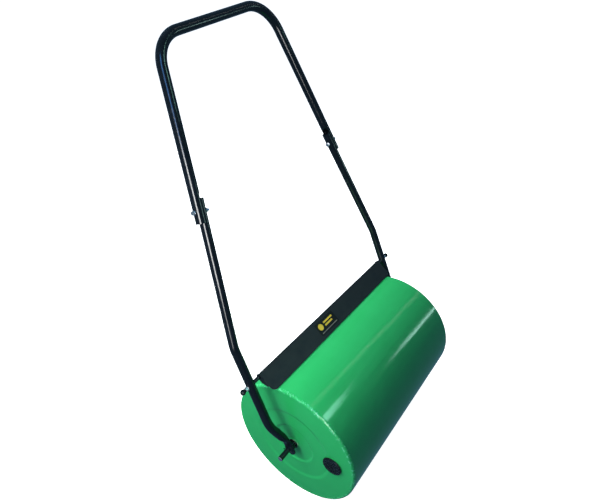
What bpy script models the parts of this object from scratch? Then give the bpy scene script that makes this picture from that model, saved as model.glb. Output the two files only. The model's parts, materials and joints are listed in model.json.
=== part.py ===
"""Hand lawn roller: a water-ballast steel drum in a bolted tubular push handle.

Metres, +Z up.  The origin is on the ground under the middle of the drum.  X runs
along the axle, and the handle leans back towards +Y.  Left means the -X end.
"""

from math import acos, atan2, cos, pi, radians, sin, sqrt, tan

import bmesh
import bpy
from mathutils import Matrix, Vector

# ---------------------------------------------------------------- driving sizes
GAP = 0.0003                     # clearance left between touching pieces
SHEET = 0.002                    # drum and scraper sheet thickness

DRUM_RADIUS = 0.160
DRUM_LENGTH = 0.500
DRUM_SIDES = 48
CORNER_RADIUS = 0.006            # rounded edge between end cap and drum
CAP_SKIRT = 0.018                # depth of the end cap's skirt inside the shell
DISH_RADIUS = 0.098              # outer edge of the shallow pressed dish
DISH_DEPTH = 0.002
HUB_RECESS_RADIUS = 0.054        # outer edge of the deeper hub recess
HUB_RECESS_DEPTH = 0.005
STEP_RUN = 0.005                 # radial run of each pressed step

AXLE_RADIUS = 0.006
AXLE_HALF_LENGTH = 0.298
SLEEVE_RADIUS = 0.010            # tube welded through the drum
SLEEVE_BORE = 0.0080
SLEEVE_PROUD = 0.003
BUSH_RADIUS = 0.0076
BUSH_LENGTH = 0.014
BUSH_FLANGE = 0.0016
BUSH_FLANGE_RADIUS = 0.0120
BORE_RADIUS = 0.0064             # bore of everything that runs on the axle
AXLE_SPACER_RADIUS = 0.0100
AXLE_WASHER_RADIUS = 0.0105
AXLE_WASHER_THICKNESS = 0.0015
SPLIT_PIN_HOLE = 0.0022
PIN_WIRE = 0.00072
PIN_LEG = 0.00090                # half the distance between the two legs
PIN_EYE = 0.0026
PIN_OFFSET = 0.0030              # from the outer washer

PLUG_Y = -0.1055                 # filler plug, from the axle
PLUG_Z = 0.015
PLUG_RADIUS = 0.023
PLUG_HEAD = 0.0026
PLUG_RIM = 0.0016                # rounding of the head's outer edge
PLUG_DISH_RADIUS = 0.0150
THREAD_RADIUS = 0.0147
THREAD_LENGTH = 0.014
BOSS_RADIUS = 0.0215
BOSS_BORE = 0.0151
BOSS_LENGTH = 0.016
BOSS_PROUD = 0.0005
SEAL_THICKNESS = 0.001

LEAN = radians(24.5)             # handle's lean back from vertical
TUBE_WALL = 0.0015
LOWER_TUBE_RADIUS = 0.0098
UPPER_TUBE_RADIUS = 0.0107
TUBE_SIDES = 16
EYE_HALF_WIDTH = 0.0130          # flattened tube end round the axle
EYE_HALF_THICKNESS = 0.0021
EYE_X = 0.262
EYE_END = -0.019
EYE_CENTRE = -0.006              # centre of the eye's rounded end
FLAT_BELOW = 0.014               # fully flattened under this height along the handle
ROUND_ABOVE = 0.038              # and fully round over this one
STRADDLE_X = 0.2880              # lower tubes where they pass the drum's ends
JOG_TOP = 0.083                  # the tube starts inwards here, along the handle
JOG_BOTTOM = 0.0205
JOG_BENDS = (0.060, 0.090)
BEND_UP = 0.2841                 # lower tube's bend, along the handle
BEND_RADIUS = 0.070
BORE_FROM = 0.045                # the lower tube's bore starts here
LOWER_TOP = 0.5869
LOWER_TOP_X = 0.2224
UPPER_END = 0.5404
UPPER_END_X = 0.2395
GRIP_UP = 0.9000                 # top bar's centre line, along the handle
GRIP_CORNER_X = 0.1664
GRIP_SKEW = 0.017                # the bar stands this much lower on the left, higher on the right
GRIP_BEND = 0.075
CRIMP_CLEARANCE = 0.0004
CRIMP_TOP = 0.6008               # the crimp fades out here, along the handle
CRIMP_FADE = 0.012

BOLT_RADIUS = 0.0025             # the bolts are M5
BOLT_HOLE = 0.00295
HEX_HALF_FLATS = 0.0040
HEAD_HEIGHT = 0.0035
NUT_HEIGHT = 0.0040
WASHER_RADIUS = 0.0052
WASHER_THICKNESS = 0.0010
JOINT_UP = 0.5632                # bolts that hold the upper and lower tubes together
JOINT_THREAD = 0.0085            # bolt end beyond the tube

PIVOT_UP = 0.1927                # scraper bolts, along the handle
SPACER_RADIUS = 0.0043
LOCK_NUT_HEIGHT = 0.0050
CAP_RADIUS = 0.0062              # ball-shaped plastic nut cover
CAP_NECK = 0.0040
CAP_LENGTH = 0.0130
CAP_THREAD = 0.0070              # bolt end inside the cover
BLADE_HALF_LENGTH = 0.2608
BLADE_WIDTH = 0.0500
BLADE_TILT = radians(31.0)       # from the handle's plane
BLADE_TIP_UP = 0.1593            # scraping edge, along the handle
BLADE_TIP_OUT = 0.0296           # and forward of the handle's plane
BLADE_LOWER_CORNER = 0.013
BLADE_UPPER_CORNER = 0.004
EAR_RADIUS = 0.007
LABEL_SIZE = (0.072, 0.033)
LABEL_CENTRE = (-0.031, 0.0245)  # along the blade and up from its edge
LABEL_THICKNESS = 0.0004

# colour, metallic, roughness
PAINTS = {
    "green_enamel": ((0.03, 0.34, 0.12, 1.0), 0.0, 0.22),
    "black_enamel": ((0.012, 0.016, 0.022, 1.0), 0.0, 0.20),
    "zinc": ((0.66, 0.68, 0.70, 1.0), 1.0, 0.32),
    "black_plastic": ((0.014, 0.014, 0.016, 1.0), 0.0, 0.42),
    "rubber": ((0.020, 0.020, 0.020, 1.0), 0.0, 0.75),
    "label_film": ((0.010, 0.010, 0.010, 1.0), 0.0, 0.35),
}


# ------------------------------------------------------------------ scene tools
def clear_scene():
    for item in list(bpy.data.objects):
        bpy.data.objects.remove(item, do_unlink=True)


def paint(name, finish):
    """A Principled material of its own for one piece."""
    colour, metallic, roughness = PAINTS[finish]
    material = bpy.data.materials.new(name + "_" + finish)
    material.use_nodes = True
    shader = material.node_tree.nodes["Principled BSDF"]
    shader.inputs["Base Color"].default_value = colour
    shader.inputs["Metallic"].default_value = metallic
    shader.inputs["Roughness"].default_value = roughness
    material.diffuse_color = colour
    return material


def pivot(name, parent, location=(0.0, 0.0, 0.0), turn=(0.0, 0.0, 0.0)):
    """An empty that carries a group of pieces."""
    empty = bpy.data.objects.new(name, None)
    bpy.context.collection.objects.link(empty)
    empty.parent = parent
    empty.location = location
    empty.rotation_euler = turn
    return empty


def piece(name, bm, parent, finish, location=(0.0, 0.0, 0.0), crease=40.0):
    """Turn a bmesh into a named, painted object."""
    bmesh.ops.recalc_face_normals(bm, faces=bm.faces[:])
    mesh = bpy.data.meshes.new(name)
    bm.to_mesh(mesh)
    bm.free()
    mesh.shade_smooth()
    mesh.set_sharp_from_angle(angle=radians(crease))
    mesh.materials.append(paint(name, finish))
    thing = bpy.data.objects.new(name, mesh)
    bpy.context.collection.objects.link(thing)
    thing.parent = parent
    thing.location = location
    return thing


def helper(name, bm, parent, location=(0.0, 0.0, 0.0)):
    """A hidden cutter or addition for a Boolean."""
    thing = piece(name, bm, parent, "zinc", location)
    thing.hide_render = True
    thing.display_type = "WIRE"
    return thing


def combine(thing, other, operation):
    modifier = thing.modifiers.new(operation.lower() + "_" + other.name, "BOOLEAN")
    modifier.operation = operation
    modifier.solver = "EXACT"
    modifier.object = other


# ---------------------------------------------------------------- shape makers
def turned(profile, sides, start=0.0):
    """Spin a closed profile of (x, radius) points about the X axis."""
    bm = bmesh.new()
    verts = [bm.verts.new((x, 0.0, 0.0) if r < 1e-7 else (x, -r * sin(start), -r * cos(start)))
             for x, r in profile]
    edges = [bm.edges.new((a, b)) for a, b in zip(verts, verts[1:] + verts[:1])
             if a.co.yz.length > 1e-7 or b.co.yz.length > 1e-7]
    bmesh.ops.spin(bm, geom=verts + edges, cent=(0, 0, 0), axis=(1, 0, 0), dvec=(0, 0, 0),
                   angle=2 * pi, steps=sides, use_merge=True, use_duplicate=False)
    bmesh.ops.remove_doubles(bm, verts=bm.verts[:], dist=1e-6)
    return bm


def rod(x0, x1, radius, sides, chamfer=0.0):
    """A plain round bar along X, with chamfered ends if asked."""
    if chamfer == 0.0:
        return turned([(x0, 0.0), (x0, radius), (x1, radius), (x1, 0.0)], sides)
    return turned([(x0, 0.0), (x0, radius - chamfer), (x0 + chamfer, radius),
                   (x1 - chamfer, radius), (x1, radius - chamfer), (x1, 0.0)], sides)


def ring(x0, x1, outer, inner, sides):
    return turned([(x0, inner), (x0, outer), (x1, outer), (x1, inner)], sides)


def arc(centre, radius, start, end, steps):
    """Points along an arc, angles in degrees."""
    return [(centre[0] + radius * cos(radians(start + (end - start) * i / steps)),
             centre[1] + radius * sin(radians(start + (end - start) * i / steps)))
            for i in range(steps + 1)]


def rounded(corners, radii, steps):
    """A polyline of 2D corners with each inner corner replaced by an arc."""
    points = [Vector(corners[0])]
    for before, corner, after, radius in zip(corners, corners[1:], corners[2:], radii):
        corner = Vector(corner)
        back = (Vector(before) - corner).normalized()
        ahead = (Vector(after) - corner).normalized()
        half = acos(max(-1.0, min(1.0, back.dot(ahead)))) / 2
        centre = corner + (back + ahead).normalized() * radius / sin(half)
        first = corner + back * radius / tan(half) - centre
        turn = pi - 2 * half
        if back.x * ahead.y - back.y * ahead.x > 0:
            turn = -turn
        for i in range(steps + 1):
            angle = turn * i / steps
            points.append(centre + Vector((first.x * cos(angle) - first.y * sin(angle),
                                           first.x * sin(angle) + first.y * cos(angle))))
    points.append(Vector(corners[-1]))
    return points


def outline_plate(outline, thickness, across):
    """A flat outline of (a, b) points made solid; across gives the three axes."""
    axis_a, axis_b, axis_t = (Vector(v) for v in across)
    bm = bmesh.new()
    verts = [bm.verts.new(axis_a * a + axis_b * b) for a, b in outline]
    face = bm.faces.new(verts)
    grown = bmesh.ops.extrude_face_region(bm, geom=[face])
    moved = [v for v in grown["geom"] if isinstance(v, bmesh.types.BMVert)]
    bmesh.ops.translate(bm, verts=moved, vec=axis_t * thickness)
    return bm


def hex_block(x0, x1, half_flats, hole=0.0):
    """A hexagon along X, with a round hole if asked."""
    bm = bmesh.new()
    corner = half_flats / cos(pi / 6)
    sides = 12
    rings = []
    for x in (x0, x1):
        outer = []
        inner = []
        for i in range(sides):
            angle = 2 * pi * i / sides
            reach = corner if i % 2 == 0 else half_flats
            outer.append(bm.verts.new((x, reach * cos(angle), reach * sin(angle))))
            if hole:
                inner.append(bm.verts.new((x, hole * cos(angle), hole * sin(angle))))
        rings.append((outer, inner))
    (outer0, inner0), (outer1, inner1) = rings
    for i in range(sides):
        j = (i + 1) % sides
        bm.faces.new((outer0[i], outer0[j], outer1[j], outer1[i]))
        if hole:
            bm.faces.new((inner0[i], inner1[i], inner1[j], inner0[j]))
            bm.faces.new((outer0[j], outer0[i], inner0[i], inner0[j]))
            bm.faces.new((outer1[i], outer1[j], inner1[j], inner1[i]))
    if not hole:
        bm.faces.new(outer0)
        bm.faces.new(outer1)
    return bm


def bridge_rings(bm, rings):
    for low, high in zip(rings, rings[1:]):
        for i in range(len(low)):
            j = (i + 1) % len(low)
            bm.faces.new((low[i], low[j], high[j], high[i]))


def swept(path, outer, bore, bore_range=None):
    """A tube along a path of (x, up) points in the handle's plane.

    outer and bore give a section as (sideways, across) offsets for a point on the
    path and an angle.  bore_range says which path points have a bore; a bore that
    stops short of an end is closed there.
    """
    bm = bmesh.new()
    last = len(path) - 1
    low, high = bore_range or (0, last)

    def section(index, shape):
        here = path[index]
        tangent = (path[min(index + 1, last)] - path[max(index - 1, 0)]).normalized()
        side = Vector((tangent.y, -tangent.x))
        verts = []
        for i in range(TUBE_SIDES):
            sideways, across = shape(here, 2 * pi * (i + 0.5) / TUBE_SIDES)
            spot = here + side * sideways
            verts.append(bm.verts.new((spot.x, across, spot.y)))
        return verts

    skin = [section(i, outer) for i in range(last + 1)]
    inside = [section(i, bore) for i in range(low, high + 1)]
    bridge_rings(bm, skin)
    bridge_rings(bm, inside)
    for at_end, wall, hole in ((low == 0, skin[0], inside[0]), (high == last, skin[-1], inside[-1])):
        if at_end:
            bridge_rings(bm, [wall, hole])
        else:
            bm.faces.new(wall)
            bm.faces.new(hole)
    return bm


# ------------------------------------------------------------------------ drum
def build_drum(parent):
    start = pi / DRUM_SIDES                       # puts a flat facet on the ground
    outer = DRUM_RADIUS / cos(start)
    half = DRUM_LENGTH / 2
    shell_end = half - CORNER_RADIUS - GAP
    shell = turned([(-shell_end, outer), (shell_end, outer),
                    (shell_end, outer - SHEET), (-shell_end, outer - SHEET)], DRUM_SIDES, start)
    piece("drum_shell", shell, parent, "green_enamel")

    for side, word in ((-1, "left"), (1, "right")):
        cap = piece("end_cap_" + word, turned(cap_profile(side, outer), DRUM_SIDES, start),
                    parent, "green_enamel")
        if side < 0:
            hole = helper("filler_hole", rod(-half - 0.01, -half + 0.03, BOSS_RADIUS + 0.0004, 32),
                          parent, (0.0, PLUG_Y, PLUG_Z))
            combine(cap, hole, "DIFFERENCE")

    sleeve_end = half - HUB_RECESS_DEPTH + SLEEVE_PROUD
    sleeve = ring(-sleeve_end, sleeve_end, SLEEVE_RADIUS, SLEEVE_BORE, 24)
    piece("axle_sleeve", sleeve, parent, "green_enamel")

    for side, word in ((-1, "left"), (1, "right")):
        face = sleeve_end + GAP
        profile = [(face - BUSH_LENGTH, BORE_RADIUS), (face - BUSH_LENGTH, BUSH_RADIUS),
                   (face, BUSH_RADIUS), (face, BUSH_FLANGE_RADIUS),
                   (face + BUSH_FLANGE, BUSH_FLANGE_RADIUS), (face + BUSH_FLANGE, BORE_RADIUS)]
        bush = turned([(side * x, r) for x, r in profile], 24)
        piece("hub_bush_" + word, bush, parent, "black_plastic")

    boss_face = -half - BOSS_PROUD
    boss = ring(boss_face, boss_face + BOSS_LENGTH, BOSS_RADIUS, BOSS_BORE, 32)
    piece("filler_boss", boss, parent, "green_enamel", (0.0, PLUG_Y, PLUG_Z))


def cap_profile(side, outer):
    """End cap: rounded edge, flat rim, shallow dish and a deeper hub recess."""
    half = DRUM_LENGTH / 2
    edge = half - CORNER_RADIUS
    skin = arc((edge, outer - CORNER_RADIUS), CORNER_RADIUS, 0, 90, 4)      # face to drum
    front = [(half - HUB_RECESS_DEPTH, SLEEVE_RADIUS + 0.00035),
             (half - HUB_RECESS_DEPTH, HUB_RECESS_RADIUS - STEP_RUN),
             (half - DISH_DEPTH, HUB_RECESS_RADIUS),
             (half - DISH_DEPTH, DISH_RADIUS - STEP_RUN),
             (half, DISH_RADIUS)] + skin
    skirt_outer = outer - SHEET - 0.0004
    skirt_inner = skirt_outer - SHEET
    back = [(edge, skirt_outer), (half - CAP_SKIRT, skirt_outer),
            (half - CAP_SKIRT, skirt_inner), (half - SHEET - 0.003, skirt_inner),
            (half - SHEET, skirt_inner - 0.003)]
    back += [(x - SHEET, r) for x, r in reversed(front[:5])]
    return [(side * x, r) for x, r in front[:-1] + [(edge, outer)] + back]


def build_plug(parent):
    """Filler plug and its washer, about their own axis along X."""
    seat = -DRUM_LENGTH / 2 - BOSS_PROUD - GAP
    seal = ring(seat - SEAL_THICKNESS, seat, BOSS_RADIUS + 0.0005, THREAD_RADIUS + 0.0008, 32)
    piece("filler_seal", seal, parent, "rubber")
    under = seat - SEAL_THICKNESS - GAP
    top = under - PLUG_HEAD
    rim = PLUG_RIM
    profile = [(top + 0.0018, 0.0), (top + 0.0018, PLUG_DISH_RADIUS - 0.002),
               (top, PLUG_DISH_RADIUS), (top, PLUG_RADIUS - rim)]
    profile += [(top + rim - rim * cos(radians(a)), PLUG_RADIUS - rim + rim * sin(radians(a)))
                for a in (30, 60, 90)]
    profile += [(under, PLUG_RADIUS), (under, THREAD_RADIUS), (under + THREAD_LENGTH, THREAD_RADIUS),
                (under + THREAD_LENGTH, THREAD_RADIUS - 0.003), (under + 0.003, THREAD_RADIUS - 0.003),
                (under + 0.003, 0.0)]
    piece("filler_plug", turned(profile, 32), parent, "black_plastic")


# ---------------------------------------------------------------------- handle
def lower_path(side):
    corners = [(EYE_X, EYE_END), (EYE_X, JOG_BOTTOM), (STRADDLE_X, JOG_TOP),
               (STRADDLE_X, BEND_UP), (LOWER_TOP_X, LOWER_TOP)]
    points = rounded(corners, (*JOG_BENDS, BEND_RADIUS), 4)
    eye = [Vector((EYE_X, up)) for up in (EYE_END, -0.0175, -0.0145, -0.010, -0.004, 0.004)]
    points = eye + points[1:]
    return [Vector((side * p.x, p.y)) for p in points]


def flattening(up):
    """1 in the flattened eye, easing to 0 in the round tube."""
    t = max(0.0, min(1.0, (ROUND_ABOVE - up) / (ROUND_ABOVE - FLAT_BELOW)))
    return t * t * (3 - 2 * t)


def lower_section(here, angle):
    flat = flattening(here.y)
    width = EYE_HALF_WIDTH
    if here.y < EYE_CENTRE:
        width = sqrt(max(EYE_HALF_WIDTH ** 2 - (here.y - EYE_CENTRE) ** 2, 0.0016 ** 2))
    c, s = cos(angle), sin(angle)
    square = 1.0 - 0.75 * flat
    c = abs(c) ** square * (1 if c > 0 else -1)
    thick = LOWER_TUBE_RADIUS * (1 - flat) + EYE_HALF_THICKNESS * flat
    wide = LOWER_TUBE_RADIUS * (1 - flat) + width * flat
    return thick * c, wide * s


def lower_bore(here, angle):
    radius = LOWER_TUBE_RADIUS - TUBE_WALL
    return radius * cos(angle), radius * sin(angle)


def leg_x(up, corner_a, corner_b):
    """Half spacing of a straight leg at a height along the handle."""
    (x0, up0), (x1, up1) = corner_a, corner_b
    return x0 + (x1 - x0) * (up - up0) / (up1 - up0)


def lower_leg_x(up):
    return leg_x(up, (STRADDLE_X, BEND_UP), (LOWER_TOP_X, LOWER_TOP))


def upper_leg_x(up):
    return leg_x(up, (UPPER_END_X, UPPER_END), (GRIP_CORNER_X, GRIP_UP))


def upper_path():
    crimp_ends = (0.5434, 0.5533, 0.5730, 0.5888, 0.5948, CRIMP_TOP)
    lower = [Vector((-upper_leg_x(up), up)) for up in (UPPER_END,) + crimp_ends]
    low_corner, high_corner = GRIP_UP - GRIP_SKEW, GRIP_UP + GRIP_SKEW
    corners = [lower[-1], (-upper_leg_x(low_corner), low_corner),
               (upper_leg_x(high_corner), high_corner), (-lower[-1].x, lower[-1].y)]
    bends = rounded(corners, (GRIP_BEND, GRIP_BEND), 8)
    return lower + bends[1:-1] + [Vector((-p.x, p.y)) for p in reversed(lower)]


def saddle(here, sideways, across, radius, round_wall):
    """Press the inboard wall of the upper tube's end round the lower tube."""
    depth = max(0.0, min(1.0, (CRIMP_TOP - here.y) / CRIMP_FADE))
    if depth == 0.0 or abs(across) >= radius:
        return sideways
    offset = abs(here.x) - lower_leg_x(here.y)
    pressed = offset - sqrt(radius ** 2 - across ** 2)
    return min(sideways, pressed * depth + round_wall * (1 - depth))


def upper_section(here, angle):
    sideways, across = UPPER_TUBE_RADIUS * cos(angle), UPPER_TUBE_RADIUS * sin(angle)
    return saddle(here, sideways, across, LOWER_TUBE_RADIUS + CRIMP_CLEARANCE, UPPER_TUBE_RADIUS), across


def upper_bore(here, angle):
    radius = UPPER_TUBE_RADIUS - TUBE_WALL
    sideways, across = radius * cos(angle), radius * sin(angle)
    return saddle(here, sideways, across, LOWER_TUBE_RADIUS + CRIMP_CLEARANCE + TUBE_WALL, radius), across


def build_bolt(name, parent, start, end, side=1, location=(0.0, 0.0, 0.0)):
    """A hexagon bolt along X whose head starts at start and whose thread ends at end."""
    head = hex_block(side * start, side * (start + HEAD_HEIGHT), HEX_HALF_FLATS)
    bolt = piece(name, head, parent, "zinc", location)
    low, high = sorted((side * (start + HEAD_HEIGHT / 2), side * end))
    shank = helper(name + "_shank", rod(low, high, BOLT_RADIUS, 12, 0.0005), parent, location)
    combine(bolt, shank, "UNION")
    return bolt


def build_handle(parent):
    lower_tubes = {}
    for side, word in ((-1, "left"), (1, "right")):
        path = lower_path(side)
        blind = next(i for i, p in enumerate(path) if p.y > BORE_FROM)
        tube = swept(path, lower_section, lower_bore, (blind, len(path) - 1))
        tube = piece("lower_tube_" + word, tube, parent, "black_enamel")
        eye_hole = rod(side * EYE_X - 0.01, side * EYE_X + 0.01, BORE_RADIUS, 24)
        combine(tube, helper("eye_hole_" + word, eye_hole, parent), "DIFFERENCE")
        across = rod(side * STRADDLE_X - 0.02, side * STRADDLE_X + 0.02, BOLT_HOLE, 12)
        across = helper("pivot_hole_" + word, across, parent, (0.0, 0.0, PIVOT_UP))
        combine(tube, across, "DIFFERENCE")
        lower_tubes[side] = tube
    upper = swept(upper_path(), upper_section, upper_bore)
    upper = piece("upper_handle", upper, parent, "black_enamel")

    # Both joint bolts point towards +X, so the heads are outboard on the left
    # leg and inboard on the right one.
    slope = atan2(UPPER_END_X - GRIP_CORNER_X, GRIP_UP - UPPER_END)
    offset = (upper_leg_x(JOINT_UP) - lower_leg_x(JOINT_UP)) * cos(slope)
    spans = {-1: (-UPPER_TUBE_RADIUS, offset + LOWER_TUBE_RADIUS),
             1: (-offset - LOWER_TUBE_RADIUS, UPPER_TUBE_RADIUS)}
    for side, word in ((-1, "left"), (1, "right")):
        low, high = spans[side]
        axis = pivot("joint_axis_" + word, parent, (side * upper_leg_x(JOINT_UP), 0.0, JOINT_UP),
                     (0.0, -side * slope, 0.0))
        hole = helper("joint_hole_" + word, rod(low - 0.01, high + 0.01, BOLT_HOLE, 12), axis)
        combine(upper, hole, "DIFFERENCE")
        combine(lower_tubes[side], hole, "DIFFERENCE")
        washer_end = low - GAP
        washer = ring(washer_end - WASHER_THICKNESS, washer_end, WASHER_RADIUS, BOLT_HOLE, 16)
        piece("handle_washer_" + word, washer, axis, "zinc")
        head_start = washer_end - WASHER_THICKNESS - GAP - HEAD_HEIGHT
        build_bolt("handle_bolt_" + word, axis, head_start, high + JOINT_THREAD)
        nut = hex_block(high + GAP, high + GAP + NUT_HEIGHT, HEX_HALF_FLATS, BOLT_HOLE)
        piece("handle_nut_" + word, nut, axis, "zinc")


# -------------------------------------------------------------- axle and pivots
def build_axle(parent):
    axle = rod(-AXLE_HALF_LENGTH, AXLE_HALF_LENGTH, AXLE_RADIUS, 24, 0.001)
    axle = piece("axle_rod", axle, parent, "black_enamel")
    hub_face = DRUM_LENGTH / 2 - HUB_RECESS_DEPTH + SLEEVE_PROUD + GAP + BUSH_FLANGE
    eye_inner = EYE_X - EYE_HALF_THICKNESS
    eye_outer = EYE_X + EYE_HALF_THICKNESS
    washer_start = eye_outer + GAP
    washer_end = washer_start + AXLE_WASHER_THICKNESS
    pin_x = washer_end + PIN_OFFSET
    for side, word in ((-1, "left"), (1, "right")):
        low, high = sorted((side * (hub_face + GAP), side * (eye_inner - GAP)))
        spacer = ring(low, high, AXLE_SPACER_RADIUS, BORE_RADIUS, 24)
        piece("axle_spacer_" + word, spacer, parent, "black_plastic")
        low, high = sorted((side * washer_start, side * washer_end))
        washer = ring(low, high, AXLE_WASHER_RADIUS, BORE_RADIUS, 24)
        piece("axle_washer_" + word, washer, parent, "black_enamel")
        hole = rod(-0.01, 0.01, SPLIT_PIN_HOLE, 12)
        hole.transform(Matrix.Rotation(radians(90), 4, "Z"))
        combine(axle, helper("pin_hole_" + word, hole, parent, (side * pin_x, 0.0, 0.0)), "DIFFERENCE")
        piece("split_pin_" + word, split_pin(), parent, "black_enamel", (side * pin_x, 0.0, 0.0))


def split_pin():
    """A cotter pin along Y: one bent wire, eye behind the axle and legs spread in front."""
    eye_y = 0.0098
    half = 158
    loop = arc((eye_y, 0.0), PIN_EYE, half, -half, 10)
    leg = [(-0.0100, 0.0042), (-0.0086, 0.0022), (-0.0074, PIN_LEG), (0.0066, PIN_LEG)]
    centre = leg + loop + [(y, -z) for y, z in reversed(leg)]
    path = [Vector(p) for p in centre]
    bm = bmesh.new()
    sides = 6
    rings = []
    for i, here in enumerate(path):
        tangent = (path[min(i + 1, len(path) - 1)] - path[max(i - 1, 0)]).normalized()
        side = Vector((-tangent.y, tangent.x))
        wire = []
        for k in range(sides):
            angle = 2 * pi * k / sides
            spot = here + side * PIN_WIRE * cos(angle)
            wire.append(bm.verts.new((PIN_WIRE * sin(angle), spot.x, spot.y)))
        rings.append(wire)
    bridge_rings(bm, rings)
    bm.faces.new(rings[0])
    bm.faces.new(rings[-1])
    return bm


def build_scraper_bolts(parent):
    """Each bolt runs outwards through the blade's ear, a spacer and the lower tube."""
    ear_outer = BLADE_HALF_LENGTH
    ear_inner = ear_outer - SHEET
    tube_inner = STRADDLE_X - LOWER_TUBE_RADIUS
    tube_outer = STRADDLE_X + LOWER_TUBE_RADIUS
    nut_start = tube_outer + 2 * GAP + WASHER_THICKNESS
    cap_start = nut_start + LOCK_NUT_HEIGHT + GAP
    for side, word in ((-1, "left"), (1, "right")):
        build_bolt("scraper_bolt_" + word, parent, ear_inner - GAP - HEAD_HEIGHT,
                   cap_start + CAP_THREAD, side)
        low, high = sorted((side * (ear_outer + GAP), side * (tube_inner - GAP)))
        spacer = ring(low, high, SPACER_RADIUS, BOLT_HOLE, 16)
        piece("scraper_spacer_" + word, spacer, parent, "black_enamel")
        low, high = sorted((side * (tube_outer + GAP), side * (tube_outer + GAP + WASHER_THICKNESS)))
        piece("scraper_washer_" + word, ring(low, high, WASHER_RADIUS, BOLT_HOLE, 16), parent, "zinc")
        low, high = sorted((side * nut_start, side * (nut_start + LOCK_NUT_HEIGHT)))
        piece("scraper_nut_" + word, hex_block(low, high, HEX_HALF_FLATS, BOLT_HOLE), parent, "zinc")
        ball = arc((cap_start + CAP_LENGTH - CAP_RADIUS, 0.0), CAP_RADIUS, 140, 0, 8)
        profile = [(cap_start, BOLT_HOLE), (cap_start, CAP_NECK)] + ball
        profile += [(cap_start + CAP_THREAD + 0.0025, 0.0), (cap_start + CAP_THREAD + 0.0008, BOLT_HOLE)]
        cover = turned([(side * x, abs(r)) for x, r in profile], 20)
        piece("scraper_nut_cover_" + word, cover, parent, "black_plastic")


# --------------------------------------------------------------------- scraper
def rounded_rectangle(half_x, height, lower, upper, steps=4):
    outline = arc((half_x - lower, lower), lower, -90, 0, steps)
    outline += arc((half_x - upper, height - upper), upper, 0, 90, steps)
    return outline + [(-x, y) for x, y in reversed(outline)]


def build_scraper(parent):
    """Blade with bent ears, hung on the two scraper bolts, and its label."""
    up_blade = Vector((0.0, sin(BLADE_TILT), cos(BLADE_TILT)))
    off_blade = Vector((0.0, -cos(BLADE_TILT), sin(BLADE_TILT)))
    along = Vector((1.0, 0.0, 0.0))
    tip = Vector((0.0, -BLADE_TIP_OUT, BLADE_TIP_UP - PIVOT_UP))
    hole_up, hole_off = -tip.dot(up_blade), -tip.dot(off_blade)

    outline = rounded_rectangle(BLADE_HALF_LENGTH, BLADE_WIDTH, BLADE_LOWER_CORNER, BLADE_UPPER_CORNER)
    sheet = outline_plate(outline, -SHEET, (along, up_blade, off_blade))
    blade = piece("scraper_blade", sheet, parent, "black_enamel", tip)
    ear = [(0.016, -0.0008), (BLADE_WIDTH - 0.007, -0.0008)]
    ear += arc((hole_up, hole_off), EAR_RADIUS, 90, -90, 6)
    ear += [(0.030, hole_off - EAR_RADIUS), (0.016, -0.0070)]
    for side, word in ((-1, "left"), (1, "right")):
        bent = outline_plate(ear, SHEET, (up_blade, off_blade, along))
        ear_start = -BLADE_HALF_LENGTH if side < 0 else BLADE_HALF_LENGTH - SHEET
        bent = helper("ear_" + word, bent, parent, tip + along * (ear_start - side * 0.00002))
        combine(blade, bent, "UNION")
        hole = rod(side * BLADE_HALF_LENGTH - 0.005, side * BLADE_HALF_LENGTH + 0.005, BOLT_HOLE, 16)
        combine(blade, helper("ear_hole_" + word, hole, parent), "DIFFERENCE")

    width, height = LABEL_SIZE
    x, up = LABEL_CENTRE
    corners = rounded_rectangle(width / 2, height, 0.002, 0.002, 2)
    film = outline_plate(corners, LABEL_THICKNESS, (along, up_blade, off_blade))
    spot = tip + along * x + up_blade * (up - height / 2) + off_blade * GAP
    piece("scraper_label", film, parent, "label_film", spot)


# --------------------------------------------------------------------- assembly
def build():
    clear_scene()
    roller = pivot("lawn_roller", None)
    axle_centre = pivot("axle_centre", roller, (0.0, 0.0, DRUM_RADIUS))
    drum_axis = pivot("drum_axis", axle_centre)
    plug_axis = pivot("plug_axis", drum_axis, (0.0, PLUG_Y, PLUG_Z))
    handle_plane = pivot("handle_plane", axle_centre, turn=(-LEAN, 0.0, 0.0))
    scraper_axis = pivot("scraper_axis", handle_plane, (0.0, 0.0, PIVOT_UP))
    build_drum(drum_axis)
    build_plug(plug_axis)
    build_handle(handle_plane)
    build_axle(handle_plane)
    build_scraper_bolts(scraper_axis)
    build_scraper(scraper_axis)
    bpy.context.view_layer.update()


build()
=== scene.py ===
"""Looks of the hand lawn roller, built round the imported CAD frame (metres, +Z up)."""

import json
from math import acos, atan2, cos, pi, radians, sin, sqrt, tan

import bmesh
import bpy
from mathutils import Matrix, Vector, noise


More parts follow.
